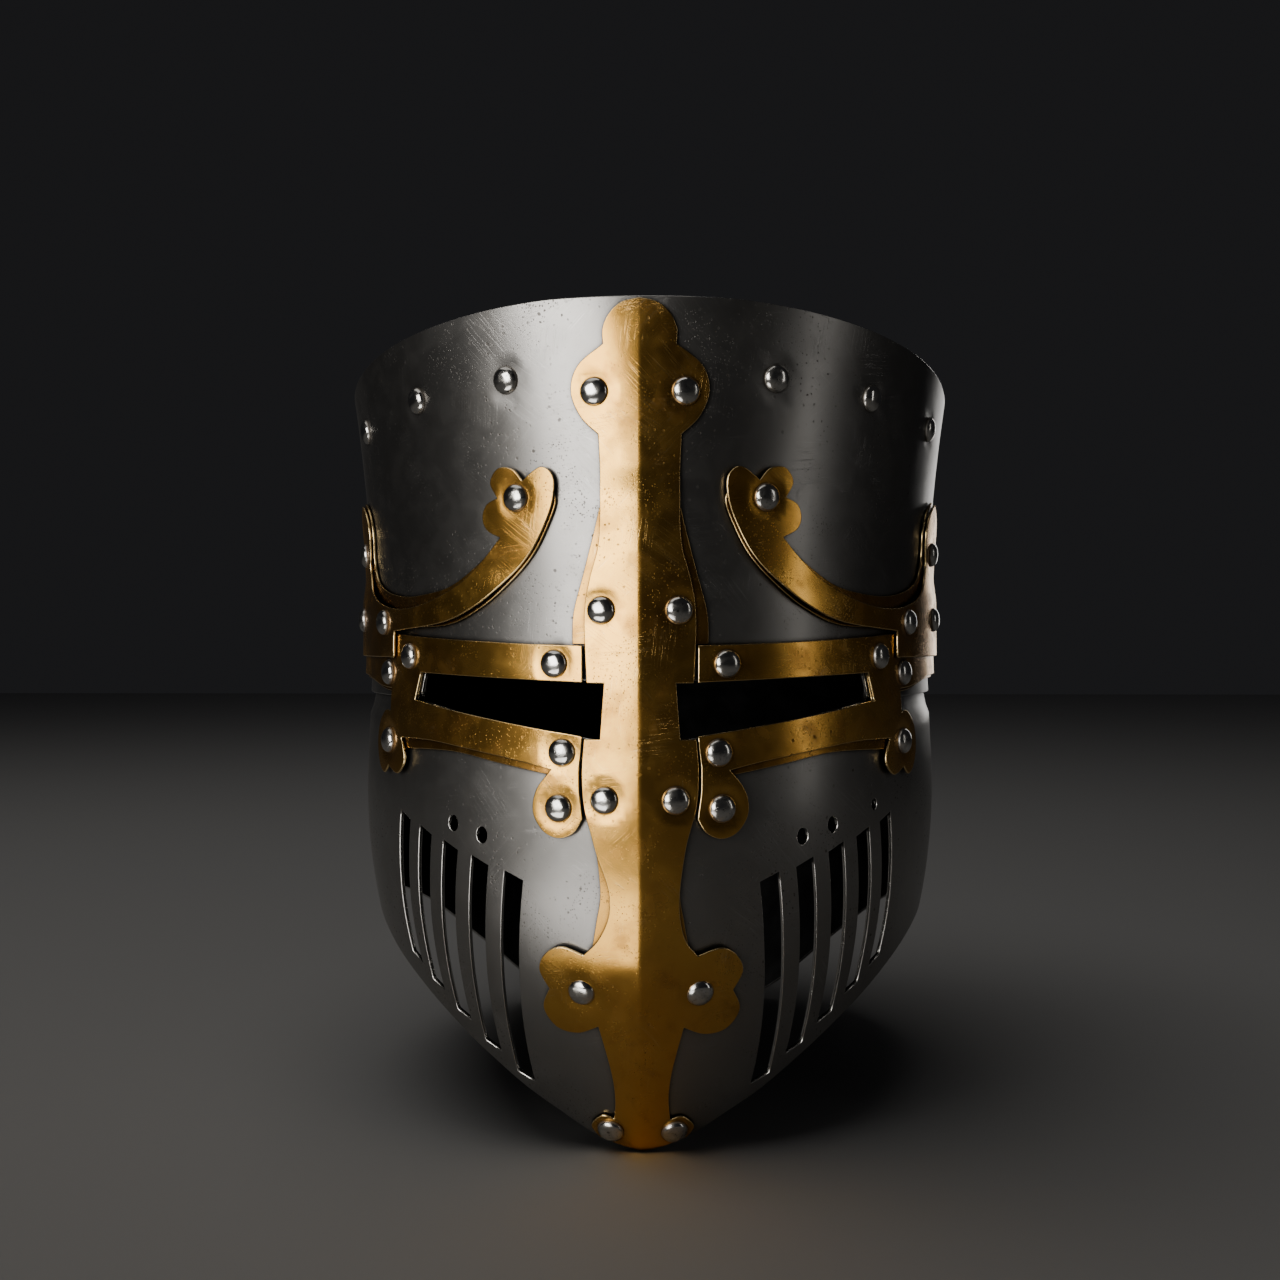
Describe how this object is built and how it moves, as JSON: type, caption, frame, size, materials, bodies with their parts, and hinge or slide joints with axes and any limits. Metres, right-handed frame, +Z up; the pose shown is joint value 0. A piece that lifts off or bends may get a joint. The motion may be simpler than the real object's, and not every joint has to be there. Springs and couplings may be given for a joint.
{
  "type": "great helm",
  "caption": "Flat-topped great helm of riveted steel plates with a brass cross, horned arm ends, eye slits and breathing slots.",
  "frame": {"origin": "under the middle of the helm's box, on the surface that it stands on", "axes": "+Z up, -Y out of the face, +X towards the viewer's right when facing the face"},
  "size_m": [0.2492, 0.2978, 0.2952],
  "materials": {
    "plate_steel": "dark satin polished steel plate with fine scratches, pits and bright cut edges",
    "cross_brass": "polished brass sheet with patina, scratches and bright edges",
    "rivet_steel": "polished steel domes with dark seats"
  },
  "bodies": {
    "root": {"crown_plate": "plate_steel", "brow_plate": "plate_steel", "back_upper_plate": "plate_steel", "face_plate": "plate_steel", "back_lower_plate": "plate_steel", "keel_bar": "cross_brass", "keel_bar_backing": "cross_brass", "sight_frame_left": "cross_brass", "sight_backing_left": "cross_brass", "horn_left": "cross_brass", "horn_backing_left": "cross_brass", "sight_frame_right": "cross_brass", "sight_backing_right": "cross_brass", "horn_right": "cross_brass", "horn_backing_right": "cross_brass", "rivet_bar_head_left": "rivet_steel", "rivet_bar_upper_left": "rivet_steel", "rivet_bar_lower_left": "rivet_steel", "rivet_bar_cross_left": "rivet_steel", "rivet_bar_foot_left": "rivet_steel", "rivet_frame_inner_left": "rivet_steel", "rivet_frame_outer_left": "rivet_steel", "rivet_frame_corner_left": "rivet_steel", "rivet_frame_lobe_left": "rivet_steel", "rivet_tab_upper_left": "rivet_steel", "rivet_tab_lower_left": "rivet_steel", "rivet_horn_front_left": "rivet_steel", "rivet_horn_middle_left": "rivet_steel", "rivet_horn_rear_left": "rivet_steel", "rivet_stem_front_left": "rivet_steel", "rivet_stem_middle_left": "rivet_steel", "rivet_crown_front_left": "rivet_steel", "rivet_crown_brow_left": "rivet_steel", "rivet_crown_side_left": "rivet_steel", "rivet_crown_ear_left": "rivet_steel", "rivet_crown_nape_left": "rivet_steel", "rivet_crown_back_left": "rivet_steel", "rivet_bar_head_right": "rivet_steel", "rivet_bar_upper_right": "rivet_steel", "rivet_bar_lower_right": "rivet_steel", "rivet_bar_cross_right": "rivet_steel", "rivet_bar_foot_right": "rivet_steel", "rivet_frame_inner_right": "rivet_steel", "rivet_frame_outer_right": "rivet_steel", "rivet_frame_corner_right": "rivet_steel", "rivet_frame_lobe_right": "rivet_steel", "rivet_tab_upper_right": "rivet_steel", "rivet_tab_lower_right": "rivet_steel", "rivet_horn_front_right": "rivet_steel", "rivet_horn_middle_right": "rivet_steel", "rivet_horn_rear_right": "rivet_steel", "rivet_stem_front_right": "rivet_steel", "rivet_stem_middle_right": "rivet_steel", "rivet_crown_front_right": "rivet_steel", "rivet_crown_brow_right": "rivet_steel", "rivet_crown_side_right": "rivet_steel", "rivet_crown_ear_right": "rivet_steel", "rivet_crown_nape_right": "rivet_steel", "rivet_crown_back_right": "rivet_steel"}
  },
  "joints": []
}
